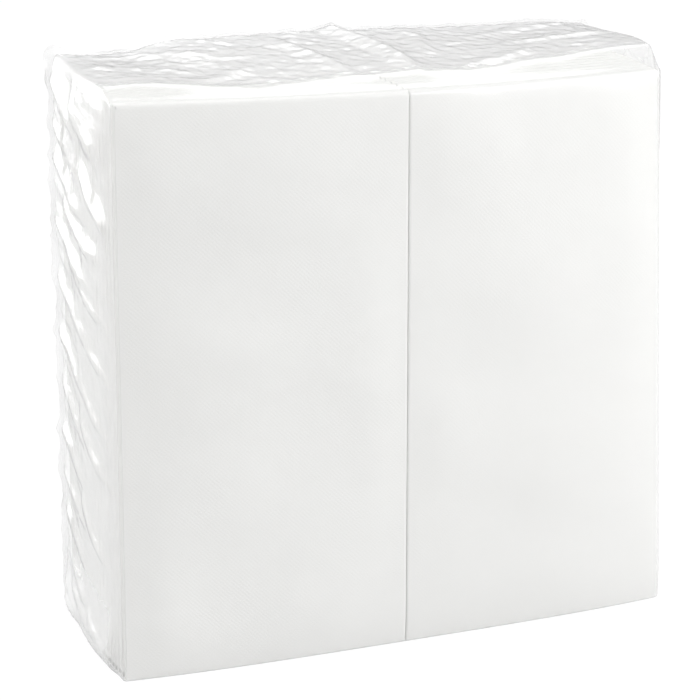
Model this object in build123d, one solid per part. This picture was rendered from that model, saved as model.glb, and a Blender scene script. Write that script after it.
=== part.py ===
from build123d import *
import math
import os

# A pack of folded paper dinner napkins in clear film, standing on its narrow edge.
# Millimetres. The origin is the middle of the base, +Z is up and the front looks along -Y.
# Two stacks stand side by side, left and right of X = 0. In each, the napkins lie one
# behind the other along Y. The double folds of both stacks meet in the middle, so the pack
# is thickest there, and most of all at the head, where the last crease goes across them.

# Paper. An open napkin is folded in half twice the same way and then once across.
sheet_width = 400.0  # four folded widths
sheet_length = 390.0  # two folded heights
leaf_thickness = 0.38  # one layer of soft, thick paper
leaf_gap = 0.05  # air between two layers at the free edges
foot_fold_gap = 0.11  # air between two layers at the folds, which spring open, at the foot
head_fold_gap = 0.23  # the same at the head
side_step = 1.5  # how far the inner free edge stops short of the outer one
end_step = 2.0  # how far the rear half stops short of the front half at the foot

# Stacks
napkins_in_stack = 20
napkin_gap = 0.08  # air between two napkins
stack_gap = 0.60  # air between the two stacks
head_lean = 6.7  # how much narrower the film draws the pack at the head, all on the right

# Film
film_thickness = 0.05
front_clearance = 0.40  # between film and napkins, front and back
side_clearance = 0.60
end_clearance = 0.40  # top and foot
edge_chamfer_share = 0.75  # of the room that the smallest clearances leave at a corner
side_pucker_height = 2.2  # how far a pucker stands out in the middle of a side
side_pucker_fall = 13.0  # how much lower a pucker ends at the front than at the rear
side_puckers = 16
crinkle_height = 1.5  # how far a crinkle of the top stands up
crinkle_columns = 7  # in each half of the top
smooth_strip = 11.0  # depth of the tight strip along the top's front edge

# Shares of the full pucker height and fall at each column of a side, from front to rear,
# and where the columns stand between the front edge and the back
side_column_shares = ((0.0, 0.0, 0.0), (0.40, 0.60, 0.40), (0.80, 1.0, 0.85), (1.0, 0.0, 1.0))
# The same for the rows of crinkles, from the smooth strip to the back: place, height
crinkle_row_shares = ((0.25, 1.0), (0.50, 0.8), (0.75, 1.0), (1.0, 0.0))

# The folded strip goes from the front foot up, over the crease in half an octagon and down to
# the rear foot. For each corner of that way: how far behind the napkin's middle plane and
# how far above the middle of the bend a layer lies, as shares of its depth from that plane
octagon_share = math.tan(math.pi / 8)
way_shares = ((-1, 0), (-1, octagon_share), (-octagon_share, 1),
              (octagon_share, 1), (1, octagon_share), (1, 0))

napkin_width = sheet_width / 4
napkin_height = sheet_length / 2
free_pitch = leaf_thickness + leaf_gap
free_depth = 2 * (leaf_thickness + 3 * free_pitch) + leaf_gap
stack_foot = film_thickness + end_clearance
film_half_width = napkin_width + stack_gap / 2 + side_clearance + film_thickness
film_height = napkin_height + 2 * (end_clearance + film_thickness)
edge_chamfer = edge_chamfer_share * 2 * min(front_clearance, side_clearance, end_clearance)


def fold_pitch(rise):
    # From one layer to the next at the folds. The rise is 0 at the foot and 1 at the crease.
    return leaf_thickness + foot_fold_gap + rise * (head_fold_gap - foot_fold_gap)


def fold_depth(rise):
    return 2 * (leaf_thickness + 3 * fold_pitch(rise)) + leaf_gap


crease_height = napkin_height - fold_depth(1) / 2


def taper(rise):
    # The angle between a napkin's front and its back, seen from above
    return 2 * math.atan((fold_depth(rise) - free_depth) / 2 / napkin_width)


def seam_pitch(rise):
    return fold_depth(rise) + napkin_gap


def lean(x, z):
    # How far the film draws a place to the left
    return head_lean * (x + film_half_width) / (2 * film_half_width) * z / film_height


def ribbon(route, thickness):
    # The outline of a flat strip that follows a route of points, with mitred corners
    near, far = [], []
    for place, point in enumerate(route):
        before = route[max(place - 1, 0)]
        after = route[min(place + 1, len(route) - 1)]
        way_in = (point - before).normalized() if place else (after - point).normalized()
        way_out = (after - point).normalized() if after != point else way_in
        mean_way = (way_in + way_out).normalized()
        across = Vector(-mean_way.Y, mean_way.X) * (thickness / 2 / mean_way.dot(way_in))
        near.append(point + across)
        far.append(point - across)
    return near + far[::-1]


def fold_section(rise):
    # The four layers of a strip folded twice the same way, as an outline of X and depth from
    # the napkin's middle plane. The two folds at X = 0 lie one in the other, and the first
    # fold is at the far side with the free edges. The innermost layer runs along X, and the
    # others fan out from it towards the folds.
    pitch = fold_pitch(rise)
    left = leaf_thickness / 2
    right = napkin_width - leaf_thickness / 2
    inner = (leaf_thickness + leaf_gap) / 2
    return ribbon([
        Vector(napkin_width, inner),
        Vector(left, inner),
        Vector(left, inner + 3 * pitch),
        Vector(right, inner + 3 * free_pitch),
        Vector(right, inner + 2 * free_pitch),
        Vector(left + pitch, inner + 2 * pitch),
        Vector(left + pitch, inner + pitch),
        Vector(napkin_width - side_step, inner + free_pitch),
    ], leaf_thickness)


def placed_section(side, steps, base, back, up):
    # The points of one section of a folded strip in its place. The napkin is turned about its
    # folded edge, so the stack fans out towards the seam.
    rise = base / crease_height
    turn = -steps * taper(rise)
    points = []
    for point in fold_section(rise):
        depth = back * point.Y
        x = side * (point.X * math.cos(turn) - depth * math.sin(turn) + stack_gap / 2)
        y = point.X * math.sin(turn) + depth * math.cos(turn) + steps * seam_pitch(rise)
        points.append((x - lean(x, base + stack_foot), y, base + up * point.Y + stack_foot))
    return points


def folded_napkin(side, steps):
    # side is -1 in the left stack and 1 in the right one, and steps is the number of napkins
    # from the middle of the stack
    bases = [0] + [crease_height] * (len(way_shares) - 2) + [end_step]
    sections = [placed_section(side, steps, base, back, up)
                for base, (back, up) in zip(bases, way_shares)]
    faces = [polygon(sections[0]), polygon(sections[-1])]
    for low, high in zip(sections, sections[1:]):
        for cell in zip(low, low[1:] + low[:1], high[1:] + high[:1], high):
            faces += fan(from_outer_foot(cell))
    return Solid(Shell(faces))


def from_outer_foot(cell):
    # The corners in turn from the lowest one farthest out. Every layer of the pack is parted
    # from there to the seam's head, so they all lie one on the other.
    start = max(range(len(cell)), key=lambda corner: abs(cell[corner][0]) / napkin_width
                - cell[corner][2] / napkin_height)
    return cell[start:] + cell[:start]


def napkins():
    # Every napkin by name, the front one of each stack first
    places = {}
    for row in range(napkins_in_stack):
        steps = row - (napkins_in_stack - 1) / 2
        for side, word in ((-1, "left"), (1, "right")):
            places[f"{word}_napkin_{row + 1:02d}"] = folded_napkin(side, steps)
    return places


def polygon(points):
    return Face(Wire.make_polygon([Vector(*point) for point in points], close=True))


def fan(points):
    # Triangles from the first point to each pair of neighbours among the others
    return [polygon((points[0], near, far)) for near, far in zip(points[1:], points[2:])]


def facets(rows):
    # Two triangles for each cell of a grid of points, given as rows of equal length
    made = []
    for low, high in zip(rows, rows[1:]):
        for a, b, c, d in zip(low, low[1:], high[1:], high):
            made += fan((a, b, c, d))
    return made


def film_reach(x, z, inset):
    # Half the film's depth at a place of the face
    rise = (z - stack_foot) / crease_height
    seam = napkins_in_stack / 2 * seam_pitch(rise) + front_clearance + film_thickness
    return seam - inset - math.tan(napkins_in_stack / 2 * taper(rise)) * abs(x)


def drawn_in(x, y, z):
    return x - lean(x, z), y, z


def film_side(direction, inset, foot, head):
    # Columns of points up one side, from front to rear. Every second point stands out as
    # the crest of a pucker, and the crests rise towards the rear.
    half_width = film_half_width - inset
    steps = 2 * side_puckers
    columns = []
    for place_share, height_share, rise_share in side_column_shares:
        column = []
        for step in range(steps + 1):
            share = step / steps
            bow = 4 * share * (1 - share)
            uneven = 0.75 + 0.25 * math.sin(2.4 * step)
            x = half_width + (step % 2) * uneven * height_share * side_pucker_height
            z = foot + share * (head - foot) + rise_share * side_pucker_fall * bow
            front = edge_chamfer - film_reach(half_width - edge_chamfer, z, inset)
            y = front + place_share * (film_reach(x, z, inset) - front)
            column.append(drawn_in(direction * x, y, z))
        columns.append(column)
    return columns


def film_top(half_width, inset, head):
    # Rows of points across the top, from front to back, with the crinkles in a scale pattern
    places = [(0, 0, 0), (1, 0, 0)]
    places += [(1, share, height_share) for share, height_share in crinkle_row_shares]
    columns = 2 * crinkle_columns
    rows = []
    for row, (strips, share, height_share) in enumerate(places):
        points = []
        for column in range(columns + 1):
            inner = 0 < column < columns
            uneven = 0.7 + 0.3 * math.sin(1.9 * column + 2.6 * row)
            lift = inner * ((column + row) % 2) * uneven * height_share * crinkle_height
            x = half_width * (column / crinkle_columns - 1)
            reach = film_reach(x, head, inset)
            start = edge_chamfer - reach + strips * smooth_strip
            points.append(drawn_in(x, start + share * (reach - start), head + lift))
        rows.append(points)
    return rows


def film_skin(inset):
    # The closed surface of the film, drawn in from its outer face by inset. The front, the
    # back and their edges are in two halves, which meet in the seam at X = 0. Each is pulled
    # tight from the seam's head to the foot of the outer edge.
    foot, head = inset, film_height - inset
    low, high = foot + edge_chamfer, head - edge_chamfer
    width = film_half_width - inset - edge_chamfer

    def at(x, z, facing, back_off=0):
        # A point of the front or the back, or one that is back_off inside of it
        return drawn_in(x, facing * (film_reach(x, z, inset) - back_off), z)

    top = film_top(width, inset, head)
    middle = crinkle_columns
    faces = facets(top)
    faces.append(polygon([at(x, foot, facing, back_off) for x, facing, back_off in (
        (-width, -1, edge_chamfer), (0, -1, edge_chamfer), (width, -1, edge_chamfer),
        (width, 1, 0), (0, 1, 0), (-width, 1, 0))]))
    for direction, half in ((-1, slice(middle, None, -1)), (1, slice(middle, None))):
        side = film_side(direction, inset, low, high)
        x = direction * width
        front_edge, rear_edge = top[0][half], top[-1][half]
        front_foot, rear_foot = at(x, foot, -1, edge_chamfer), at(x, foot, 1)
        seam_low, low_corner = at(0, low, -1), at(x, low, -1)
        seam_high, high_corner = at(0, high, -1), at(x, high, -1)

        faces += fan([seam_high, seam_low, low_corner, high_corner])
        faces += fan([front_foot, at(0, foot, -1, edge_chamfer), seam_low, low_corner])
        faces += fan([high_corner, seam_high] + front_edge)
        faces += fan([high_corner, low_corner] + side[0])
        faces += fan([front_foot, low_corner, side[0][0]])
        faces += fan([front_edge[-1], high_corner, side[0][-1]])
        faces.append(polygon([rear_foot, front_foot] + [column[0] for column in side]))
        faces.append(polygon([row[half][-1] for row in top]
                             + [column[-1] for column in reversed(side)]))
        faces += facets(side)
        faces += fan([rear_edge[0], at(0, foot, 1), rear_foot] + side[-1])
        faces += fan([side[-1][-1]] + rear_edge[::-1])
    return Solid(Shell(faces))


def film_wrap():
    return film_skin(0) - film_skin(film_thickness)


os.makedirs("parts", exist_ok=True)
pieces = {"film_wrap": film_wrap(), **napkins()}
for name, shape in pieces.items():
    export_step(shape, f"parts/{name}.step")
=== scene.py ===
import bpy
import math
import numpy as np
from mathutils import Matrix, Vector


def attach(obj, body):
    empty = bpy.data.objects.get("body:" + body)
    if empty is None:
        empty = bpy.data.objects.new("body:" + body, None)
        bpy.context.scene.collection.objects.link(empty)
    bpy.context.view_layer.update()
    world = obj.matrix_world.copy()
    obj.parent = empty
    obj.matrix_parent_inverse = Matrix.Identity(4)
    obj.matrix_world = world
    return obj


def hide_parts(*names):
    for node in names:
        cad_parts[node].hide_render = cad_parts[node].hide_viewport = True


# A sealed pack of folded paper dinner napkins, two stacks side by side in clear film. Napkins and
# film are worked out as an evenly built pack, and settle() gives them the pack's uneven real shape.

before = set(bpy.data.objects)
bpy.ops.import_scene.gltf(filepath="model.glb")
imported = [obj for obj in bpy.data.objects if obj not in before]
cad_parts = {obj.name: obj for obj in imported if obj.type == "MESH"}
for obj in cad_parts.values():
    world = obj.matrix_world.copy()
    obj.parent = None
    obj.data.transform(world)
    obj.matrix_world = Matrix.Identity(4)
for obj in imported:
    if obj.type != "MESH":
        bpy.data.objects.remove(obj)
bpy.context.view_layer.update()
mm = 0.001
print("frame loaded:", len(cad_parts), "nodes")

# The built pack, as in the CAD, and how far the real one has settled from it
pack = {
    "halfWidth": 100.95 * mm,   # to the outside of the film
    "height": 195.9 * mm,
    "seamHalfDepth": 42.35 * mm,
    "edgeHalfDepth": 35.1 * mm, # at the outer edges
    "crownFoot": 3.5 * mm,      # how far the face stands proud at the seam, low down
    "crownHead": 10.4 * mm,     # and at the head
    "archFoot": 3.5,            # power of the arch: high is flat with round ends
    "archHead": 2.0,
    "lean": 6.7 * mm,           # how much narrower the pack is at the head, all on the right
    "headDrop": 1.2 * mm,       # how much lower the head is in front, on the left
    "headDropRight": 3.2 * mm,  # and on the right
    "footTuck": 0.9 * mm,       # how far the faces draw in at the foot
    "footTuckHeight": 14 * mm,
    "rearPull": 0.036,          # share by which the rear is narrower
    "rearStart": -0.3,          # where that starts, as a share of half the depth
    "pillow": 0.9 * mm,         # how far the faces swell, unevenly
    "pillowLength": 60 * mm,
    "pillowSeed": 5,
    "wave": 0.06 * mm,          # height of the faint level waves of the faces
    "waveLength": 17 * mm,
    "waveDrawn": 0.35,          # how level the waves lie: 0 is wholly level
    "waveSeed": 8,
    "stillSide": 0.15,          # share of the half width over which both die out at the sides
    "stillEnd": 0.1,            # and of the height, at the head and the foot
}


def smoothStep(value, low, high):
    # 0 below low, 1 above high, and 3t^2 - 2t^3 between them
    t = np.clip((value - low) / (high - low), 0, 1)
    return t * t * (3 - 2 * t)


def builtReach(x):
    # Half the depth of the evenly built pack: it falls in a straight line from the seam outwards
    fall = (pack["seamHalfDepth"] - pack["edgeHalfDepth"]) / pack["halfWidth"]
    return pack["seamHalfDepth"] - fall * np.abs(x)


def settle(points):
    # Moves points of the evenly built pack, in rows of x, y, z, to where they have settled. The
    # depth becomes an arch across the face, crown * (1 - across ^ power), which grows with the
    # height and draws in at the foot. The right side leans in towards the head, the front of the
    # head drops, and the rear is narrower.
    x, y, z = points[:, 0], points[:, 1], points[:, 2]
    across = np.clip(np.abs(x) / pack["halfWidth"], 0, 1)
    up = np.clip(z / pack["height"], 0, 1.05)
    power = pack["archFoot"] + (pack["archHead"] - pack["archFoot"]) * up
    crown = pack["crownFoot"] + (pack["crownHead"] - pack["crownFoot"]) * up
    depthShare = y / builtReach(x)
    tuck = pack["footTuck"] * np.clip(1 - z / pack["footTuckHeight"], 0, 1) ** 2
    reach = pack["edgeHalfDepth"] + crown * (1 - across ** power) - tuck
    fromLeft = (x + pack["halfWidth"]) / (2 * pack["halfWidth"])
    drop = pack["headDrop"] + (pack["headDropRight"] - pack["headDrop"]) * fromLeft
    rear = smoothStep(depthShare, pack["rearStart"], 1)
    return np.stack([
        x * (1 - pack["rearPull"] * rear) - pack["lean"] * fromLeft * up,
        depthShare * reach,
        z - drop * up * (1 - depthShare) / 2,
    ], axis=1)


def ripple(u, v, length, seed, waves=18):
    # A smooth random height of about unit size: plane waves of about one length, added up
    dice = np.random.default_rng(seed)
    angles = dice.uniform(0, math.pi, waves)
    phases = dice.uniform(0, 2 * math.pi, waves)
    stretches = dice.uniform(0.75, 1.35, waves)
    total = np.zeros(np.broadcast(u, v).shape)
    for angle, phase, stretch in zip(angles, phases, stretches):
        turn = 2 * math.pi / (length * stretch)
        total += np.sin(turn * (u * math.cos(angle) + v * math.sin(angle)) + phase)
    return total / math.sqrt(waves / 2)


def faceSwell(x, z, facing):
    # Soft uneven pillows and faint level waves of the front and back faces, which die out at
    # the edges and at the seam
    width, height = pack["halfWidth"], pack["height"]
    side, end = pack["stillSide"] * width, pack["stillEnd"] * height
    inside = smoothStep(np.abs(x), 0, side) * smoothStep(width - np.abs(x), 0, side)
    inside = inside * smoothStep(z, 0, end) * smoothStep(height - z, 0, end)
    pillows = 0.5 + 0.5 * np.tanh(ripple(x, z, pack["pillowLength"], pack["pillowSeed"] + facing))
    waves = ripple(pack["waveDrawn"] * x, z, pack["waveLength"], pack["waveSeed"] + facing)
    return inside * (pack["pillow"] * pillows + pack["wave"] * waves)


def loopFaces(loop, rows):
    # The four-cornered faces between rows of points, each row a closed loop
    i, j = np.meshgrid(np.arange(loop), np.arange(rows - 1))
    here, above, after = j * loop, (j + 1) * loop, (i + 1) % loop
    return np.stack([i + here, after + here, after + above, i + above], axis=2).reshape(-1, 4)


def makePiece(name, points, faces, material):
    # A mesh object at the origin. Its faces are turned round if its volume comes out negative.
    a, b, c = (points[[face[k] for face in faces]] for k in range(3))
    last = points[[face[-1] for face in faces]]
    volume = np.einsum("ij,ij->", a, np.cross(b, c)) + np.einsum("ij,ij->", a, np.cross(c, last))
    if volume < 0:
        faces = [tuple(reversed(face)) for face in faces]
    mesh = bpy.data.meshes.new(name)
    mesh.from_pydata(points.tolist(), [], faces)
    mesh.materials.append(material)
    mesh.shade_smooth()
    piece = bpy.data.objects.new(name, mesh)
    bpy.context.scene.collection.objects.link(piece)
    return piece


# Materials

paper = {
    "color": (0.91, 0.91, 0.895, 1),
    "mottle": 0.03,            # how much darker the cloudy parts of the tissue are
    "mottleScale": 160,
    "mottleDetail": 3,
    "fibreScale": 2600,
    "fibreDetail": 4,
    "fibreRoughness": 0.7,
    "fibreHeight": 0.022 * mm,
    "dotPitch": 1.5 * mm,      # between the embossed dots
    "dotHeight": 0.012 * mm,
    "roughness": 0.92,
    "specular": 0.2,
}

film = {
    "haze": 0.05,              # share of the film that shows as milky white, seen straight on
    "hazeEdge": 0.30,          # how much more at the shallowest angle
    "hazePower": 3,            # how late it comes: high is only at the shallowest angles
    "milk": (0.95, 0.95, 0.95, 1),
    "milkRoughness": 0.3,
    "gloss": 0.04,             # share that reflects, seen straight on
    "glossEdge": 0.70,
    "glossPower": 5,
    "roughness": 0.18,
    "bumpScale": 90,
    "bumpDetail": 2,
    "bumpHeight": 0.22 * mm,
    "crinkleSize": 3.4 * mm,   # the finest crinkles, where the film isn't pulled tight
    "crinkleDrawn": (1, 0.6, 1),  # they are longer from front to rear
    "crinkleHeight": 0.28 * mm,
    "crinkleHaze": 0.22,       # how much milkier the film is there
    "shadowClear": 0.84,       # share of a lamp's light that passes each face of the film
}


def newMaterial(name):
    material = bpy.data.materials.new(name)
    material.use_nodes = True
    tree = material.node_tree
    tree.nodes.clear()
    output = tree.nodes.new("ShaderNodeOutputMaterial")
    return material, tree, output


def link(tree, start, end):
    tree.links.new(start, end)


def mathNode(tree, operation, first, second):
    node = tree.nodes.new("ShaderNodeMath")
    node.operation = operation
    for socket, value in zip(node.inputs, (first, second)):
        if isinstance(value, bpy.types.NodeSocket):
            link(tree, value, socket)
        else:
            socket.default_value = value
    return node.outputs[0]


def noiseNode(tree, vector, scale, detail, roughness=0.5):
    node = tree.nodes.new("ShaderNodeTexNoise")
    node.inputs["Scale"].default_value = scale
    node.inputs["Detail"].default_value = detail
    node.inputs["Roughness"].default_value = roughness
    link(tree, vector, node.inputs["Vector"])
    return node.outputs["Fac"]


def bumpNode(tree, height, distance, normal=None):
    node = tree.nodes.new("ShaderNodeBump")
    node.inputs["Strength"].default_value = 1
    node.inputs["Distance"].default_value = distance
    link(tree, height, node.inputs["Height"])
    if normal is not None:
        link(tree, normal, node.inputs["Normal"])
    return node.outputs["Normal"]


def makePaper():
    # Soft tissue: cloudy white, fine fibres, and a grid of tiny embossed dots
    material, tree, output = newMaterial("napkinPaper")
    place = tree.nodes.new("ShaderNodeTexCoord").outputs["Object"]
    shader = tree.nodes.new("ShaderNodeBsdfPrincipled")
    shader.inputs["Roughness"].default_value = paper["roughness"]
    shader.inputs["Specular IOR Level"].default_value = paper["specular"]

    cloud = noiseNode(tree, place, paper["mottleScale"], paper["mottleDetail"])
    darker = [part * (1 - paper["mottle"]) for part in paper["color"][:3]]
    tint = tree.nodes.new("ShaderNodeMix")
    tint.data_type = "RGBA"
    tint.inputs["A"].default_value = paper["color"]
    tint.inputs["B"].default_value = (*darker, 1)
    link(tree, cloud, tint.inputs["Factor"])
    link(tree, tint.outputs["Result"], shader.inputs["Base Color"])

    apart = tree.nodes.new("ShaderNodeSeparateXYZ")
    link(tree, place, apart.inputs[0])
    pitch = 2 * math.pi / paper["dotPitch"]
    waves = [mathNode(tree, "SINE", mathNode(tree, "MULTIPLY", apart.outputs[axis], pitch), 0)
             for axis in ("X", "Z")]
    dots = mathNode(tree, "MULTIPLY", *waves)
    fibres = noiseNode(tree, place, paper["fibreScale"], paper["fibreDetail"], paper["fibreRoughness"])
    normal = bumpNode(tree, fibres, paper["fibreHeight"])
    normal = bumpNode(tree, dots, paper["dotHeight"], normal=normal)
    link(tree, normal, shader.inputs["Normal"])
    link(tree, shader.outputs[0], output.inputs["Surface"])
    return material


def makeFilm():
    # Clear film: see-through, a little milky, with a gloss that grows at shallow angles. The
    # attribute "slack" says where it is crinkled finely.
    material, tree, output = newMaterial("clearFilm")
    place = tree.nodes.new("ShaderNodeTexCoord").outputs["Object"]
    ripples = noiseNode(tree, place, film["bumpScale"], film["bumpDetail"])
    normal = bumpNode(tree, ripples, film["bumpHeight"])

    slack = tree.nodes.new("ShaderNodeAttribute")
    slack.attribute_name = "slack"
    cells = tree.nodes.new("ShaderNodeTexVoronoi")
    cells.inputs["Scale"].default_value = 1 / film["crinkleSize"]
    longer = tree.nodes.new("ShaderNodeMapping")
    longer.inputs["Scale"].default_value = film["crinkleDrawn"]
    link(tree, place, longer.inputs["Vector"])
    link(tree, longer.outputs[0], cells.inputs["Vector"])
    crinkles = mathNode(tree, "MULTIPLY", cells.outputs["Distance"], slack.outputs["Fac"])
    normal = bumpNode(tree, crinkles, film["crinkleHeight"], normal=normal)

    weight = tree.nodes.new("ShaderNodeLayerWeight")
    weight.inputs["Blend"].default_value = 0.5
    link(tree, normal, weight.inputs["Normal"])
    shallow = weight.outputs["Facing"]

    def rising(power, low, extra):
        # low + extra * shallow ^ power: low seen straight on, low + extra at the shallowest angle
        part = mathNode(tree, "MULTIPLY", mathNode(tree, "POWER", shallow, power), extra)
        return mathNode(tree, "ADD", part, low)

    clear = tree.nodes.new("ShaderNodeBsdfTransparent")
    milky = tree.nodes.new("ShaderNodeBsdfPrincipled")
    milky.inputs["Base Color"].default_value = film["milk"]
    milky.inputs["Roughness"].default_value = film["milkRoughness"]
    link(tree, normal, milky.inputs["Normal"])
    body = tree.nodes.new("ShaderNodeMixShader")
    milkier = mathNode(tree, "MULTIPLY", slack.outputs["Fac"], film["crinkleHaze"])
    haze = rising(film["hazePower"], film["haze"], film["hazeEdge"])
    link(tree, mathNode(tree, "ADD", haze, milkier), body.inputs[0])
    link(tree, clear.outputs[0], body.inputs[1])
    link(tree, milky.outputs[0], body.inputs[2])

    gloss = tree.nodes.new("ShaderNodeBsdfGlossy")
    gloss.inputs["Roughness"].default_value = film["roughness"]
    link(tree, normal, gloss.inputs["Normal"])
    whole = tree.nodes.new("ShaderNodeMixShader")
    link(tree, rising(film["glossPower"], film["gloss"], film["glossEdge"]), whole.inputs[0])
    link(tree, body.outputs[0], whole.inputs[1])
    link(tree, gloss.outputs[0], whole.inputs[2])

    # Light on its way to a lamp goes through plain clear film, which renders much faster
    path = tree.nodes.new("ShaderNodeLightPath")
    plain = tree.nodes.new("ShaderNodeBsdfTransparent")
    plain.inputs["Color"].default_value = (film["shadowClear"],) * 3 + (1,)
    seen = tree.nodes.new("ShaderNodeMixShader")
    link(tree, path.outputs["Is Shadow Ray"], seen.inputs[0])
    link(tree, whole.outputs[0], seen.inputs[1])
    link(tree, plain.outputs[0], seen.inputs[2])
    link(tree, seen.outputs[0], output.inputs["Surface"])
    return material


paperMaterial = makePaper()
filmMaterial = makeFilm()
print("materials made")

# Napkins. Each is one sheet: folded in half twice the same way, which makes a strip of four
# leaves, and then once across, so that eight leaves lie over the crease at the head.

napkin = {
    "sheet": (400 * mm, 390 * mm),
    "leaf": 0.38 * mm,
    "freeGap": 0.05 * mm,      # between leaves at the open side
    "foldGap": 0.17 * mm,      # and at the folds, which spring open more
    "sideStep": 1.5 * mm,      # how far the last leaf's edge lies back from the open side
    "endStep": 2.0 * mm,       # how much shorter the rear half is than the front half
    "crease": 0.8,             # power that squares the crease at the head: 1 is round
    "fold": 0.30,              # the same for the folds at the seam
    "foldSteps": (8, 6, 5),    # steps round the outer, the open side's and the inner fold
    "gap": 0.08 * mm,          # between one napkin and the next
    "stackGap": 0.02 * mm,     # between the stacks
    "foot": 0.45 * mm,         # how high they stand above the pack's foot
    "count": 20,               # in each stack
    "slide": 0.1 * mm,         # how far a napkin lies out of line with its stack
    "slideSeed": 11,
    "fine": (26, 34, 10),      # steps across, up and over the crease of the outermost napkins
    "plain": (8, 7, 8),        # the same for those inside
    "sharp": 50,               # degrees from which an edge is drawn sharp
}


def foldLine(steps):
    # The strip's centre line seen from above, as arrays of x and of depth from the napkin's
    # middle: straight runs at four levels, joined by squared half circles. The levels stand a
    # fold pitch apart at the folds and a free pitch apart at the open side.
    width, leaf = napkin["sheet"][0] / 4, napkin["leaf"]
    foldPitch, freePitch = leaf + napkin["foldGap"], leaf + napkin["freeGap"]
    inner = (leaf + napkin["freeGap"]) / 2
    near = leaf / 2 + 1.5 * foldPitch
    far = width - leaf / 2 - freePitch / 2

    def level(x, number):
        share = np.clip((x - near) / (width - near), 0, 1)
        return inner + number * (foldPitch + (freePitch - foldPitch) * share)

    def run(start, end, number):
        x = np.linspace(start, end, steps + 1)
        return x, level(x, number)

    def turn(x, low, high, side, count):
        angle = np.linspace(-math.pi / 2, math.pi / 2, count + 1)[1:-1]
        out = abs(high - low) / 2 * np.cos(angle) ** napkin["fold"]
        lift = np.sign(angle) * np.abs(np.sin(angle)) ** napkin["fold"]
        return x + side * out, (low + high) / 2 + (high - low) / 2 * lift

    outer, middle, inmost = napkin["foldSteps"]
    parts = [
        run(width, near, 0),
        turn(near, level(near, 0), level(near, 3), -1, outer),
        run(near, far, 3),
        turn(far, level(far, 3), level(far, 2), 1, middle),
        run(far, near, 2),
        turn(near, level(near, 2), level(near, 1), -1, inmost),
        run(near, width - napkin["sideStep"], 1),
    ]
    return (np.concatenate([part[k] for part in parts]) for k in range(2))


def ribbonLoop(steps):
    # Both sides of the strip as one closed loop: the centre line moved half a leaf each way
    x, depth = foldLine(steps)
    wayX, wayDepth = np.gradient(x), np.gradient(depth)
    size = np.hypot(wayX, wayDepth)
    offX = -wayDepth / size * napkin["leaf"] / 2
    offDepth = wayX / size * napkin["leaf"] / 2
    return (np.concatenate([x + offX, (x - offX)[::-1]]),
            np.concatenate([depth + offDepth, (depth - offDepth)[::-1]]))


def foldedNapkin(steps, rises, bends):
    # The loop carried up, over the crease at the head and down again. Over the crease a point
    # at depth d moves along a half circle of radius d, squared a little.
    x, depth = ribbonLoop(steps)
    height = napkin["sheet"][1] / 2
    head = height - depth.max()
    angle = np.linspace(0, math.pi, bends + 1)[1:-1]
    power = napkin["crease"]
    over = -np.sign(np.cos(angle)) * np.abs(np.cos(angle)) ** power
    side = np.concatenate([-np.ones(rises + 1), over, np.ones(rises + 1)])
    lift = np.concatenate([np.zeros(rises + 1), np.sin(angle) ** power, np.zeros(rises + 1)])
    base = np.concatenate([np.linspace(0, head, rises + 1), np.full(bends - 1, head),
                           np.linspace(head, napkin["endStep"], rises + 1)])
    points = np.stack(np.broadcast_arrays(x[None, :], depth[None, :] * side[:, None],
                                          base[:, None] + depth[None, :] * lift[:, None]), axis=2)
    rows, loop = points.shape[:2]
    k = np.arange(loop // 2 - 1)
    cap = np.stack([k, loop - 1 - k, loop - 2 - k, k + 1], axis=1)   # closes the cut ends
    faces = np.concatenate([loopFaces(loop, rows), cap, cap[:, ::-1] + (rows - 1) * loop])
    return points.reshape(-1, 3), faces


def placeNapkin(points, row, side, dice):
    # Turns a napkin about its folded edge so that the stack fans out, stacks it and settles it.
    # Eight leaves lie behind each other, with six gaps at folds and one in the middle.
    width, leaf = napkin["sheet"][0] / 4, napkin["leaf"]
    spread = 6 * (napkin["foldGap"] - napkin["freeGap"])
    foldDepth = 8 * leaf + napkin["freeGap"] + 6 * napkin["foldGap"]
    taper = 2 * math.atan(spread / 2 / width)
    place = row - (napkin["count"] - 1) / 2
    turn = -place * taper
    slide = napkin["slide"] * (0 < row < napkin["count"] - 1)
    x, y, z = points.T
    moved = np.stack([
        x * math.cos(turn) - y * math.sin(turn) + napkin["stackGap"] / 2 + slide * dice.uniform(),
        x * math.sin(turn) + y * math.cos(turn) + place * (foldDepth + napkin["gap"]),
        z + napkin["foot"] + slide * dice.uniform(),
    ], axis=1)
    moved[:, 0] *= side
    return settle(moved)


def puffOut(points, row, side):
    # Swells the leaf that faces the film, and leaves the others
    facing = -1 if row == 0 else 1
    x, y, z = points.T
    width = napkin["sheet"][0] / 4
    pitch = napkin["leaf"] + napkin["foldGap"] + (napkin["freeGap"] - napkin["foldGap"]) * x / width
    outer = facing * y > (napkin["leaf"] + napkin["freeGap"]) / 2 + 2.5 * pitch
    points[:, 1] = y + facing * outer * faceSwell(side * x, z, facing)
    return points


def makeNapkins():
    made = {}
    shapes = {detail: foldedNapkin(*napkin[detail]) for detail in ("fine", "plain")}
    dice = np.random.default_rng(napkin["slideSeed"])
    for row in range(napkin["count"]):
        outermost = row in (0, napkin["count"] - 1)
        for side, word in ((-1, "left"), (1, "right")):
            points, faces = shapes["fine" if outermost else "plain"]
            points = points.copy()
            if outermost:
                points = puffOut(points, row, side)
            name = f"{word}_napkin_{row + 1:02d}"
            piece = makePiece(f"napkin_{word}_{row + 1:02d}", placeNapkin(points, row, side, dice),
                              faces.tolist(), paperMaterial)
            piece.data.set_sharp_from_angle(angle=math.radians(napkin["sharp"]))
            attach(piece, "root")
            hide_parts(name)
            made[name] = piece
    return made


napkinPieces = makeNapkins()
print("napkins made:", len(napkinPieces))

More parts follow.
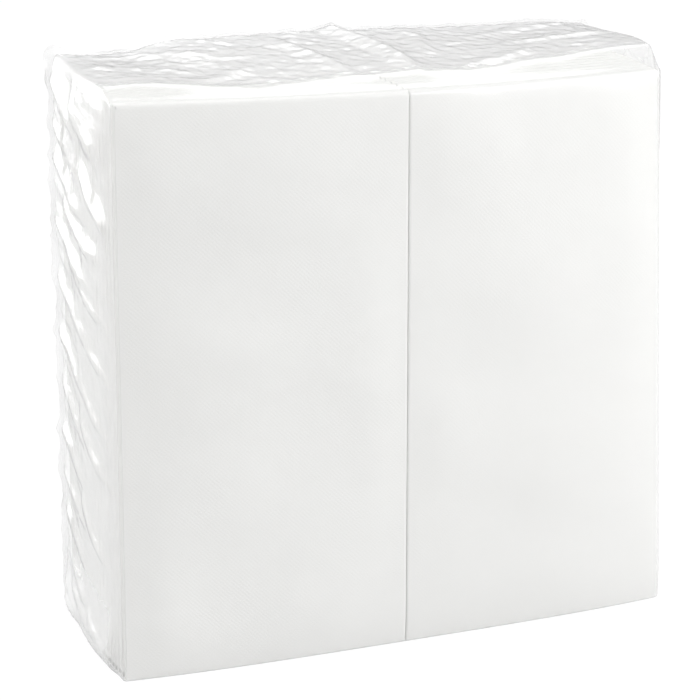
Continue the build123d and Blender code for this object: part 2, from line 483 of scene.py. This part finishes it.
# Film. It is a tube round the pack's depth, closed by a front panel and a back panel, with a
# sealed fin that stands out round the back rim.

wrap = {
    "steps": {"left": 150, "top": 220, "right": 100, "bottom": 30},
    "deep": 70,                # steps from front to rear
    "finSteps": 4,             # steps up each side of the fin
    "cornerSteps": 4,
    "cornerRadius": 1.3 * mm,
    "frontRadius": 1.1 * mm,
    "frontRadiusTop": 2.4 * mm,
    "frontSteps": 4,
    "finSide": 2.3 * mm,       # how far the fin stands out at the sides
    "finTop": 1.0 * mm,        # and along the top, where it is folded back
    "finGap": 0.30 * mm,       # between the fin's two faces at its root
    "finFlat": 4 * mm,         # height up to which it is pressed flat at the foot
    "finFull": 26 * mm,        # and from which it stands out in full
    "finSway": 0.7 * mm,       # how far its edge bends to the front and the rear
    "finSwayLength": 22 * mm,
    "finSwaySeed": 61,
    "finSwayWaves": 9,
    "ear": 2.0 * mm,           # how much farther it stands out at the head's left corner
    "earLength": 7 * mm,
    "scallop": 8.5 * mm,       # sets the length of the fin's scallops
    "scallopDrift": 27 * mm,   # and of their unevenness
    "scallopUneven": 1.3,
    "scallopDepth": 0.2,       # share of the fin that they take away
    "thickness": 0.05 * mm,
    "stride": 5,               # tube steps to each step of the panels
    "sharp": 55,               # degrees from which an edge is drawn sharp
}

# How far the film stands above the napkins, as places along X and heights in mm
topRise = {
    "front": ((-101, 3.0), (-88, 3.6), (-50, 1.4), (-18, 2.8), (4, 3.6), (30, 2.8), (62, 4.4),
              (88, 6.0), (101, 5.8)),   # at the shoulder
    "rear": ((-101, 2.6), (-78, 0.9), (-50, 3.6), (-26, 3.3), (4, 3.2), (29, 2.4), (60, 2.0),
             (88, 2.4), (101, 1.2)),    # at the back rim
    "start": 1 * mm,           # how far behind the front edge it begins to rise
    "shoulder": 11 * mm,       # and where it has risen
    "below": 24 * mm,          # how far down the sides the film is drawn up with it
}

# The main folds of the left side, in mm: y and z where each starts, y and z where it ends,
# the width of its upper flank and how far it stands out
leftFolds = (
    (35, 189, 2, 179, 8, 2.2), (35, 177, -4, 166, 6.5, 1.8), (8, 186, -30, 176, 9, 2.2),
    (35, 165, -6, 151, 5.2, 2.0), (-2, 168, -31, 152, 5.6, 1.6), (22, 151, -24, 141, 5.2, 1.8),
    (35, 143, -14, 128, 5.2, 2.0), (18, 134, -26, 120, 4.6, 1.4), (35, 123, -9, 108, 5.2, 1.9),
    (12, 116, -26, 101, 4.2, 1.2), (35, 104, 0, 89, 4.8, 1.8), (10, 95, -22, 81, 4.2, 1.2),
    (34, 86, 4, 72, 4.8, 1.7), (8, 79, -26, 65, 4.6, 1.4), (35, 68, 8, 56, 4.5, 1.6),
    (35, 54, 6, 42, 4.4, 1.6), (9, 50, -21, 36, 4.2, 1.4), (33, 38, 7, 27, 4.3, 1.6),
    (30, 25, 0, 14, 4.2, 1.5), (24, 14, -15, 8, 4, 1.4), (-2, 12, -27, 5, 4, 1.3),
)


def runRing():
    # The tube's outline seen from the front, up the left side, over the top, down the right
    # side and back along the foot: x, z, outward normal, and the side that each point is on
    w, h, r = pack["halfWidth"], pack["height"], wrap["cornerRadius"]
    steps, arc = wrap["steps"], wrap["cornerSteps"]
    runs = [("left", (-w, r), (-w, h - r), (-1, 0)), ("top", (-w + r, h), (w - r, h), (0, 1)),
            ("right", (w, h - r), (w, r), (1, 0)), ("bottom", (w - r, 0), (-w + r, 0), (0, -1))]
    places, normals, sides = [], [], []
    for number, (side, start, end, normal) in enumerate(runs):
        share = np.linspace(0, 1, steps[side] + 1)[:, None]
        places.append(np.array(start) + share * (np.array(end) - np.array(start)))
        normals.append(np.tile(normal, (len(share), 1)).astype(float))
        sides += [number] * len(share)
        angle = np.linspace(0, math.pi / 2, arc + 1)[1:-1][:, None]
        after = runs[(number + 1) % 4][3]
        bend = np.cos(angle) * np.array(normal) + np.sin(angle) * np.array(after)
        centre = np.array(end) - r * np.array(normal)
        places.append(centre + r * bend)
        normals.append(bend)
        sides += [number] * len(angle)
    return np.concatenate(places), np.concatenate(normals), np.array(sides)


ringPlaces, ringNormals, ringSides = runRing()


# How far the film bulges out past the right side at the head
rightBulge = {
    "along": (-38, -28, -15, 0, 25, 38),        # places from the front to the rear, in mm
    "out": (0, 1.4, 4.2, 7.0, 12.0, 11.5),      # and how far out there, in mm
    "below": 45 * mm,                           # how far below the head it begins
    "inside": 0.6,                              # share of the half width from which it begins
}

# The larger folds of the top, in mm: x and y where each starts and where it ends, the width
# of one flank and how far it stands up
topFolds = (
    (11, 44, 9, -30, 8, 2.0), (-18, 30, -15, -34, 7, 1.1), (100, 6, 62, 2, 6, 0.9),
    (84, 30, 54, 16, 6, 0.6), (-95, 8, -62, -8, 6, 0.6), (-80, 28, -42, 12, 6, 0.6),
    (60, -14, 26, -24, 7, 0.7), (-40, -4, -70, -22, 6, 0.6), (40, 36, 22, -8, 7, 0.9),
)


# The fine crumples of the top, and where the larger folds begin
topCrumple = {
    "strip": 9 * mm,           # mean width of the smooth strip in front
    "stripVary": 5 * mm,
    "stripLength": 60 * mm,
    "stripSeed": 24,
    "growth": 9 * mm,          # how far behind the strip they have their height
    "least": 0.55,             # share of it that they have at the front
    "ends": 10 * mm,           # how far from both sides they die out
    "sway": 2.5 * mm,          # how far they are pushed to and fro
    "swayLength": 30 * mm,
    "swaySeed": 25,
    "waves": 7,                # waves that make up the strip's edge and the sway
    "drawn": 0.6,              # 1 is round, and less is longer from front to rear
    "large": {"size": 6.5 * mm, "height": 0.65 * mm, "slant": 0.3, "seed": 26},
    "small": {"size": 3.8 * mm, "height": 0.35 * mm, "slant": -0.2, "seed": 27},
    "sunk": 0.4 * mm,          # how far all of it is let down
    "foldStart": 2 * mm,       # how far behind the front edge the larger folds begin
    "foldFull": 14 * mm,
}

# The shape of every fold
ridge = {
    "bow": 0.05,               # share of its length by which it bows
    "lower": 0.6,              # width of its lower flank, as a share of the upper one's
    "start": -0.15,            # share of its length where it begins to rise
    "risen": 0.12,
    "end": 1.15,               # where it has died away
    "fade": 0.5,               # share of its length over which it does
}

# How the scattered folds of the sides vary
scatter = {
    "place": (0.2, 0.8),       # least and most, as a share of the room that each fold has
    "length": (0.55, 1),       # least and most, as shares of the longest
    "width": (0.7, 1),
    "height": (0.6, 1),
    "slope": 0.2,              # how steeply they fall near the head
    "slopeLow": 0.25,          # and how much more at the foot
    "slopeVary": 0.1,
}

# The sides
sideShape = {
    "rightFolds": (47, 15, 50, 8, 2.1),  # seed, number, and the longest, widest and highest in mm
    "puckers": (22, 17, 3.6, 0.7),       # number, longest, widest and highest of the short folds
    "puckerSeed": 48,
    "growth": 11 * mm,         # how far behind the front edge all folds have their height
    "facet": 1.5 * mm,         # height of the broad facets near the head
    "facetSize": 15 * mm,
    "facetSeed": 51,
    "facetStart": 0.55,        # share of the pack's height where they begin
    "facetFull": 0.72,
    "facetEnd": 0.04,          # share over which they die out at the head
    "puff": 1.8 * mm,          # how far the film puffs out at the foot
    "puffTop": 0.15,           # share of the pack's height that it reaches
    "puffFade": 0.12,
    "puffFront": 12 * mm,
    "puffFoot": 3 * mm,        # how far above the foot it is out in full
}

# Where the film is slack, and so crinkled finely
slackZones = {
    "topEdge": 5 * mm,         # how far below the head the top's slack film begins
    "topStart": 6 * mm,        # how far behind the front edge it begins
    "topFull": 21 * mm,
    "sideShare": 0.5,          # how slack the sides are
    "sideEdge": 3 * mm,
    "sideStart": 3 * mm,
    "sideFull": 16 * mm,
    "foot": 30 * mm,           # height below which the sides grow slacker
    "footFade": 20 * mm,
    "rear": 1 * mm,            # how far from the back panel it ends
}


def profile(x, points):
    # A smooth line through given places and heights
    spots, heights = np.array(points).T * mm
    place = np.interp(x, spots, np.arange(len(spots)))
    whole = np.minimum(place.astype(int), len(spots) - 2)
    return heights[whole] + (heights[whole + 1] - heights[whole]) * smoothStep(place - whole, 0, 1)


def crumple(u, v, size, seed):
    # Crumpled sheet, from 0 to about 1: the distance to the nearest of many scattered places,
    # one in each square of the given size, so that sharp crests stand between shallow dishes
    dice = np.random.default_rng(seed)
    u, v = u / size, v / size
    total = np.full(u.shape, 9.0)
    for a in np.arange(np.floor(u.min()) - 1, np.ceil(u.max()) + 2):
        for b in np.arange(np.floor(v.min()) - 1, np.ceil(v.max()) + 2):
            spotU = a + dice.uniform(0, 1)
            spotV = b + dice.uniform(0, 1)
            total = np.minimum(total, np.hypot(u - spotU, v - spotV))
    return np.minimum(total, 1.2)


def foldRidge(y, z, fold):
    # A ridge from one place to another, with a straight upper flank and a steeper lower one:
    # height = rise * (1 - distance from its crest / width). It rises quickly at its start and
    # dies away slowly.
    startY, startZ, endY, endZ, width, rise = np.array(fold) * mm
    wayY, wayZ = endY - startY, endZ - startZ
    length = math.hypot(wayY, wayZ)
    along = ((y - startY) * wayY + (z - startZ) * wayZ) / length ** 2
    above = ((y - startY) * wayZ - (z - startZ) * wayY) / length
    above = above + ridge["bow"] * length * np.sin(math.pi * np.clip(along, 0, 1))
    flank = np.clip(1 - np.abs(above) / np.where(above > 0, width, ridge["lower"] * width), 0, 1)
    begins = smoothStep(along, ridge["start"], ridge["risen"])
    ends = smoothStep(ridge["end"] - along, 0, ridge["fade"])
    return rise * flank * begins * ends


def scatteredFolds(seed, count, longest, widest, highest):
    # Folds that start at the back rim, fall towards the front, and fall more steeply low down
    dice = np.random.default_rng(seed)
    height, rear = pack["height"] / mm, pack["edgeHalfDepth"] / mm
    made = []
    vary = scatter["slopeVary"]
    for number in range(count):
        start = (number + dice.uniform(*scatter["place"])) / count * height
        length = longest * dice.uniform(*scatter["length"])
        slope = scatter["slope"] + scatter["slopeLow"] * (1 - start / height) + dice.uniform(-vary, vary)
        width = widest * dice.uniform(*scatter["width"])
        made.append((rear, start, rear - length, start - slope * length,
                     width, highest * dice.uniform(*scatter["height"])))
    return made


def topLift(x, y):
    # How far the film stands off the top: up over the shoulder, then on to the back rim
    behind = y + builtReach(x)
    rear = smoothStep(behind, topRise["shoulder"], 2 * builtReach(x))
    front = profile(x, topRise["front"]) * smoothStep(behind, topRise["start"], topRise["shoulder"])
    return front * (1 - rear) + profile(x, topRise["rear"]) * rear


def topHeight(x, y):
    # The top is crumpled, more towards the back, behind an uneven smooth strip, and has a few
    # larger folds
    facts = topCrumple
    behind = y + builtReach(x)
    inside = smoothStep(pack["halfWidth"] - np.abs(x), 0, facts["ends"])
    edge = np.tanh(ripple(x, 0 * x, facts["stripLength"], facts["stripSeed"], facts["waves"]))
    start = facts["strip"] + facts["stripVary"] * edge
    rough = inside * smoothStep(behind, start, start + facts["growth"])
    rough = rough * (facts["least"] + (1 - facts["least"]) * behind / (2 * builtReach(x)))
    sway = facts["sway"] * ripple(x, y, facts["swayLength"], facts["swaySeed"], facts["waves"])

    def crumples(kind, sway):
        drawn = facts["drawn"] * y + kind["slant"] * x
        return kind["height"] * crumple(x + sway, drawn, kind["size"], kind["seed"])

    both = crumples(facts["large"], sway) + crumples(facts["small"], -sway)
    folds = np.zeros_like(x)
    for fold in topFolds:
        folds = np.maximum(folds, foldRidge(x, y, fold))
    folds = inside * smoothStep(behind, facts["foldStart"], facts["foldFull"]) * folds
    return rough * (both - facts["sunk"]) + folds


def sideHeight(direction, y, z):
    # A side: long folds from the back rim, short puckers between them, broad facets near the
    # head and a puff at the foot
    height, front = pack["height"], y + pack["edgeHalfDepth"]
    folds = leftFolds if direction < 0 else scatteredFolds(*sideShape["rightFolds"])
    total = np.zeros_like(y)
    for fold in folds:
        total = np.maximum(total, foldRidge(y, z, fold))
    for fold in scatteredFolds(sideShape["puckerSeed"] + direction, *sideShape["puckers"]):
        total += foldRidge(y, z, fold)
    slantY, slantZ = y * 0.7 + z * 0.25, z - 0.3 * y   # leans the facets like the folds
    seed = sideShape["facetSeed"] + direction
    facets = sideShape["facet"] * crumple(slantY, slantZ, sideShape["facetSize"], seed)
    facets = facets * smoothStep(z, sideShape["facetStart"] * height, sideShape["facetFull"] * height)
    facets = facets * smoothStep(height - z, 0, sideShape["facetEnd"] * height)
    low = smoothStep(sideShape["puffTop"] * height - z, 0, sideShape["puffFade"] * height)
    low = low * smoothStep(z, -1 * mm, sideShape["puffFoot"])
    puff = sideShape["puff"] * low * smoothStep(front, 0, sideShape["puffFront"])
    return smoothStep(front, 0, sideShape["growth"]) * (total + facets) + puff


def standOut(y):
    # A ring of the tube at depth y: each point stands out by its side's height, the head of the
    # ring is drawn up, and the foot stays flat
    x, z = ringPlaces.T
    heights = [sideHeight(-1, y, z), topHeight(x, y), sideHeight(1, y, z), np.zeros_like(x)]
    out = np.choose(ringSides, heights)
    lift = topLift(x, y) * smoothStep(z, pack["height"] - topRise["below"], pack["height"])
    bulge = np.interp(y, np.array(rightBulge["along"]) * mm, np.array(rightBulge["out"]) * mm)
    bulge = bulge * smoothStep(x, rightBulge["inside"] * pack["halfWidth"], pack["halfWidth"])
    bulge = bulge * smoothStep(z, pack["height"] - rightBulge["below"], pack["height"])
    return np.stack([x + ringNormals[:, 0] * out + bulge, y,
                     np.maximum(z + ringNormals[:, 1] * out + lift, 0)], axis=1)


def finReach():
    # How far the fin stands out round the back rim: scalloped, and pressed flat at the foot
    x, z = ringPlaces.T
    around = np.cumsum(np.hypot(np.diff(x, prepend=x[0]), np.diff(z, prepend=z[0])))
    drift = wrap["scallopUneven"] * np.sin(around / wrap["scallopDrift"])
    wave = np.sin(around / wrap["scallop"] + drift)
    scallops = 1 - wrap["scallopDepth"] + wrap["scallopDepth"] * np.abs(wave)
    share = np.abs(ringNormals)
    corner = np.hypot(x + pack["halfWidth"], z - pack["height"])
    ear = wrap["ear"] * smoothStep(wrap["earLength"] - corner, 0, wrap["earLength"])
    reach = (wrap["finSide"] * share[:, 0] + wrap["finTop"] * share[:, 1]) * scallops + ear
    return reach * smoothStep(z, wrap["finFlat"], wrap["finFull"])


def filmRings():
    # Every ring of the tube from the front panel's border to the back panel's: the rounded
    # front edge, the run to the rear, and the fin's two faces
    rings = []
    head = np.maximum(ringNormals[:, 1], 0)
    radius = wrap["frontRadius"] + (wrap["frontRadiusTop"] - wrap["frontRadius"]) * head
    reach = builtReach(ringPlaces[:, 0])
    for angle in np.arange(wrap["frontSteps"]) / wrap["frontSteps"] * math.pi / 2:
        spot = ringPlaces - ringNormals * (radius * (1 - math.sin(angle)))[:, None]
        rings.append(np.stack([spot[:, 0], -reach + radius * (1 - math.cos(angle)), spot[:, 1]], axis=1))
    rim = reach - wrap["finGap"]
    for share in np.linspace(0, 1, wrap["deep"] + 1):
        rings.append(standOut(-reach + radius + share * (rim + reach - radius)))
    root, fin = rings[-1], finReach()
    bends = ripple(*ringPlaces.T, wrap["finSwayLength"], wrap["finSwaySeed"], wrap["finSwayWaves"])
    sway = wrap["finSway"] * bends * smoothStep(fin, 0, wrap["finSide"])
    outwards, inwards = range(1, wrap["finSteps"] + 1), range(wrap["finSteps"], -1, -1)
    for face, order in ((0, outwards), (1, inwards)):
        for share in np.array(order) / wrap["finSteps"]:
            spot = root[:, [0, 2]] + ringNormals * (fin * share)[:, None]
            y = root[:, 1] + sway * share ** 2 + face * wrap["finGap"] * (1 - 0.5 * share)
            rings.append(np.stack([spot[:, 0], y, spot[:, 1]], axis=1))
    return rings


def panelPoint(spots, facing):
    # Places on the front or back panel for spots given as shares across and up
    width, height = pack["halfWidth"], pack["height"]
    x, z = (spots[:, 0] * 2 - 1) * width, spots[:, 1] * height
    return np.stack([x, facing * (builtReach(x) + faceSwell(x, z, facing)), z], axis=1)


def slackShare(points):
    # How crinkled the film is: not at all in front, wholly behind the shoulder of the top, and
    # half on the sides, more at their foot
    x, y, z = points.T
    width, height = pack["halfWidth"], pack["height"]
    behind = y + builtReach(x)
    top = smoothStep(z, height - slackZones["topEdge"], height)
    top = top * smoothStep(behind, slackZones["topStart"], slackZones["topFull"])
    least = slackZones["sideShare"]
    side = least + (1 - least) * smoothStep(slackZones["foot"] - z, 0, slackZones["footFade"])
    side = side * smoothStep(np.abs(x), width - slackZones["sideEdge"], width)
    side = side * smoothStep(behind, slackZones["sideStart"], slackZones["sideFull"])
    return np.maximum(top, side) * (behind < 2 * builtReach(x) - slackZones["rear"])


def buildFilm():
    # The tube as a grid of rings, and in each of its two mouths a panel: a coarser grid whose
    # outer row of faces takes in the ring's own points, so that no seam is left open
    rings = filmRings()
    count = len(ringPlaces)
    points = np.concatenate(rings)
    faces = loopFaces(count, len(rings)).tolist()
    steps, arc, stride = wrap["steps"], wrap["cornerSteps"], wrap["stride"]
    order = ("left", "top", "right", "bottom")
    starts = np.cumsum([0] + [steps[side] + arc for side in order])
    tall, wide = steps["left"] // stride, steps["top"] // stride
    for facing, base in ((-1, 0), (1, (len(rings) - 1) * count)):
        across, up = np.arange(1, wide) / wide, np.arange(1, tall) / tall
        spots = np.stack(np.meshgrid(across, up, indexing="ij"), axis=2).reshape(-1, 2)
        first = len(points)
        points = np.concatenate([points, panelPoint(spots, facing)])

        def border(side, number):
            # The ring's points between two grid lines of the panel on one side
            size = {"left": tall, "right": tall, "top": wide, "bottom": wide}[side]
            start = starts[order.index(side)]
            low = start + round(number * steps[side] / size)
            high = start + round((number + 1) * steps[side] / size)
            return [base + place % count for place in range(low, high + 1)]

        def spot(a, b):
            # The panel's own point at grid line a across and b up
            return first + (a - 1) * (tall - 1) + (b - 1)

        panel = []
        for a in range(1, wide - 1):
            for b in range(1, tall - 1):
                panel.append([spot(a, b), spot(a, b + 1), spot(a + 1, b + 1), spot(a + 1, b)])
        for b in range(1, tall - 1):
            panel.append([spot(1, b + 1), spot(1, b)] + border("left", b))
            panel.append([spot(wide - 1, b), spot(wide - 1, b + 1)] + border("right", tall - 1 - b))
        for a in range(1, wide - 1):
            panel.append([spot(a + 1, tall - 1), spot(a, tall - 1)] + border("top", a))
            panel.append([spot(a, 1), spot(a + 1, 1)] + border("bottom", wide - 1 - a))
        corners = (("left", tall - 1, "top", spot(1, tall - 1)),
                   ("top", wide - 1, "right", spot(wide - 1, tall - 1)),
                   ("right", tall - 1, "bottom", spot(wide - 1, 1)),
                   ("bottom", wide - 1, "left", spot(1, 1)))
        for side, last, after, inner in corners:
            one, two = border(side, last), border(after, 0)
            arcPoints = [base + (one[-1] - base + step) % count for step in range(1, arc)]
            panel.append([inner] + one + arcPoints + two)
        if facing < 0:
            panel = [face[::-1] for face in panel]
        faces += panel
    return points, faces


def makeFilmPiece():
    points, faces = buildFilm()
    piece = makePiece("film", settle(points), faces, filmMaterial)
    piece.data.attributes.new("slack", "FLOAT", "POINT").data.foreach_set("value", slackShare(points))
    piece.data.set_sharp_from_angle(angle=math.radians(wrap["sharp"]))
    solid = piece.modifiers.new("thickness", "SOLIDIFY")
    solid.thickness = wrap["thickness"]
    solid.offset = -1
    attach(piece, "root")
    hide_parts("film_wrap")
    return piece


filmPiece = makeFilmPiece()
print("film made:", len(filmPiece.data.polygons), "faces")

# Floor, light and camera

room = {
    "floorSize": 8.0,
    "floorDrop": 0.1 * mm,     # how far it lies under the film, so that the two don't coincide
    "floorWhite": 0.85,        # share of the floor that shows as plain white to the camera
    "floorGlow": 1.125,        # how bright that white is
    "floorMatt": 0.45,         # how much of the light the floor gives back to the pack
    "horizon": 1.35,           # brightness of the room low down, in front
    "rearHorizon": 0.85,       # and behind
    "ceiling": 0.5,            # and high up
    "turnRear": (-0.2, 0.6),   # the y of the ways between which the horizon changes
    "turnHigh": (0.05, 0.55),  # and their z
}

# Soft lights: place, width and height, and brightness, where 1 is the white of the backdrop
lamps = {
    "key": {"place": (2.2, -1.7, 1.05), "size": (2.4, 1.8), "bright": 5.6},
    "left": {"place": (-1.5, 0.2, 1.0), "size": (1.2, 1.2), "bright": 3.4},
    "rearLeft": {"place": (-1.1, 1.5, 0.36), "size": (1.1, 0.7), "bright": 3.6},
    "rear": {"place": (0.75, 1.3, 1.45), "size": (1.4, 0.9), "bright": 1.7},
    "top": {"place": (0.0, -0.3, 1.9), "size": (1.5, 1.5), "bright": 0.8},
}


def seenWhite(tree):
    # 1 for what the camera sees, straight, by reflection or through something clear
    path = tree.nodes.new("ShaderNodeLightPath")
    either = mathNode(tree, "MAXIMUM", path.outputs["Is Camera Ray"], path.outputs["Is Glossy Ray"])
    return mathNode(tree, "MAXIMUM", either, path.outputs["Is Transmission Ray"])


def makeFloor():
    material, tree, output = newMaterial("floorWhite")
    matt = tree.nodes.new("ShaderNodeBsdfDiffuse")
    matt.inputs["Color"].default_value = (room["floorMatt"],) * 3 + (1,)
    white = tree.nodes.new("ShaderNodeEmission")
    white.inputs["Strength"].default_value = room["floorGlow"]
    mix = tree.nodes.new("ShaderNodeMixShader")
    link(tree, mathNode(tree, "MULTIPLY", seenWhite(tree), room["floorWhite"]), mix.inputs[0])
    link(tree, matt.outputs[0], mix.inputs[1])
    link(tree, white.outputs[0], mix.inputs[2])
    link(tree, mix.outputs[0], output.inputs["Surface"])
    size = room["floorSize"] / 2
    low = -room["floorDrop"]
    corners = np.array([(-size, -size, low), (size, -size, low), (size, size, low), (-size, size, low)])
    floor = makePiece("floor", corners, [(0, 1, 2, 3)], material)


def makeWorld():
    # White to the camera, and otherwise a horizon under a darker ceiling, dimmer behind
    world = bpy.data.worlds.new("studio")
    bpy.context.scene.world = world
    world.use_nodes = True
    tree = world.node_tree
    tree.nodes.clear()
    output = tree.nodes.new("ShaderNodeOutputWorld")
    way = tree.nodes.new("ShaderNodeSeparateXYZ")
    link(tree, tree.nodes.new("ShaderNodeTexCoord").outputs["Generated"], way.inputs[0])

    def grade(value, between, start, end):
        # start where the value is low, end where it is high
        node = tree.nodes.new("ShaderNodeMapRange")
        node.interpolation_type = "SMOOTHSTEP"
        for socket, given in (("Value", value), ("From Min", between[0]), ("From Max", between[1]),
                              ("To Min", start), ("To Max", end)):
            if isinstance(given, bpy.types.NodeSocket):
                link(tree, given, node.inputs[socket])
            else:
                node.inputs[socket].default_value = given
        return node.outputs["Result"]

    horizon = grade(way.outputs["Y"], room["turnRear"], room["horizon"], room["rearHorizon"])
    around = grade(way.outputs["Z"], room["turnHigh"], horizon, room["ceiling"])
    light = tree.nodes.new("ShaderNodeBackground")
    link(tree, around, light.inputs["Strength"])
    white = tree.nodes.new("ShaderNodeBackground")
    mix = tree.nodes.new("ShaderNodeMixShader")
    path = tree.nodes.new("ShaderNodeLightPath")
    link(tree, path.outputs["Is Camera Ray"], mix.inputs[0])
    link(tree, light.outputs[0], mix.inputs[1])
    link(tree, white.outputs[0], mix.inputs[2])
    link(tree, mix.outputs[0], output.inputs["Surface"])


def makeLamp(name, facts):
    light = bpy.data.lights.new(name, "AREA")
    light.shape = "RECTANGLE"
    light.size, light.size_y = facts["size"]
    light.energy = facts["bright"] * math.pi * light.size * light.size_y
    lamp = bpy.data.objects.new(name, light)
    bpy.context.scene.collection.objects.link(lamp)
    lamp.location = facts["place"]
    aim = Vector((0, 0, pack["height"] / 2)) - Vector(facts["place"])
    lamp.rotation_euler = aim.to_track_quat("-Z", "Y").to_euler()


# Place, turn in degrees, and lens and sensor width in mm
view = {
    "place": (-361.95 * mm, -835.5 * mm, 352.4 * mm),
    "yaw": 23.14,
    "pitch": -15.82,
    "roll": 0.08,
    "lens": 140.5,
    "sensor": 36,
}


def makeCamera():
    yaw, pitch, roll = (math.radians(view[name]) for name in ("yaw", "pitch", "roll"))
    ahead = Vector((math.sin(yaw) * math.cos(pitch), math.cos(yaw) * math.cos(pitch), math.sin(pitch)))
    right = Vector((math.cos(yaw), -math.sin(yaw), 0))
    up = right.cross(ahead)
    right, up = right * math.cos(roll) + up * math.sin(roll), up * math.cos(roll) - right * math.sin(roll)
    turn = Matrix((right, up, -ahead)).transposed()
    data = bpy.data.cameras.new("camera")
    data.lens = view["lens"]
    data.sensor_width = view["sensor"]
    camera = bpy.data.objects.new("camera", data)
    camera.matrix_world = Matrix.Translation(view["place"]) @ turn.to_4x4()
    bpy.context.scene.collection.objects.link(camera)
    bpy.context.scene.camera = camera


makeFloor()
makeWorld()
for lampName, lampFacts in lamps.items():
    makeLamp(lampName, lampFacts)
makeCamera()
bpy.context.scene.view_settings.view_transform = "Standard"
print("floor, lamps and camera made")
